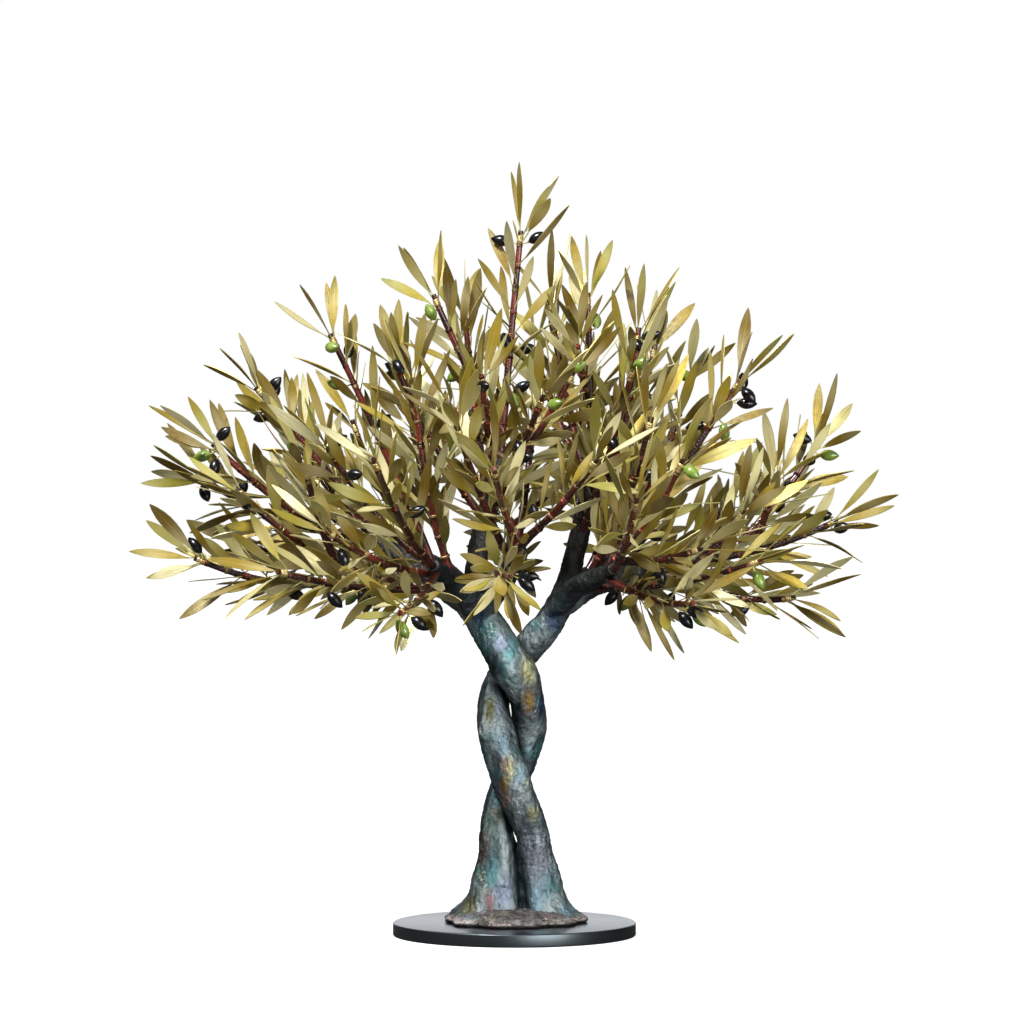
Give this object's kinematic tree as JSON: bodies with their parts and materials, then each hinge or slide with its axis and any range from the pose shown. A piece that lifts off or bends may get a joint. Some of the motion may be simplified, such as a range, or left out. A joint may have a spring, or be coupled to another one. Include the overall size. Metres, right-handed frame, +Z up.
{
  "type": "olive bonsai sculpture on a round disc",
  "caption": "Sculpted olive bonsai: wound trunks on a rough mound and a round black disc, under a dome of leafy wire stems with black and green olives.",
  "frame": {"origin": "centre of the disc's flat underside", "axes": "+Z up, +X to the right as seen from the front, and the front faces -Y"},
  "size_m": [0.468, 0.4484, 0.4768],
  "materials": {
    "disc": "mirror-smooth black",
    "mound": "rough brown-grey putty",
    "trunk": "satin verdigris paint with gold and copper touches",
    "leaf": "satin olive-gold",
    "stem_wire": "glossy dark red wrapping",
    "collar": "copper-gold wrap",
    "black_olive": "glossy black",
    "green_olive": "satin lime green"
  },
  "bodies": {
    "root": {"base_disc": "disc", "root_mound": "mound", "stem_back_end": "leaf", "stem_back_high": "leaf", "stem_back_left_end": "leaf", "stem_back_left_inner": "leaf", "stem_back_left_low": "leaf", "stem_back_left_mid": "leaf", "stem_back_left_rise": "leaf", "stem_back_low": "leaf", "stem_back_right_end": "leaf", "stem_back_right_inner": "leaf", "stem_back_right_low": "leaf", "stem_back_right_mid": "leaf", "stem_back_right_rise": "leaf", "stem_front_end": "leaf", "stem_front_left_end": "leaf", "stem_front_left_inner": "leaf", "stem_front_left_low": "leaf", "stem_front_left_mid": "leaf", "stem_front_left_of_middle": "leaf", "stem_front_left_rise": "leaf", "stem_front_left_wide": "leaf", "stem_front_low": "leaf", "stem_front_right_end": "leaf", "stem_front_right_inner": "leaf", "stem_front_right_low": "leaf", "stem_front_right_rise": "leaf", "stem_front_right_wide": "leaf", "stem_side_left_back_low": "leaf", "stem_side_left_behind": "leaf", "stem_side_left_end": "leaf", "stem_side_left_front": "leaf", "stem_side_left_high": "leaf", "stem_side_left_inner": "leaf", "stem_side_left_low": "leaf", "stem_side_right_back_low": "leaf", "stem_side_right_behind": "leaf", "stem_side_right_end": "leaf", "stem_side_right_high": "leaf", "stem_side_right_inner": "leaf", "stem_side_right_low": "leaf", "stem_top": "leaf", "stem_top_front_first": "leaf", "stem_top_front_second": "leaf", "stem_top_left_second": "leaf", "stem_top_left_third": "leaf", "stem_top_right_back": "leaf", "stem_top_right_far": "leaf", "stem_top_right_first": "leaf", "stem_top_right_low": "leaf", "stem_top_right_second": "leaf", "stem_top_right_third": "leaf", "trunk_left_foot": "trunk", "trunk_right_foot": "trunk"}
  },
  "joints": []
}
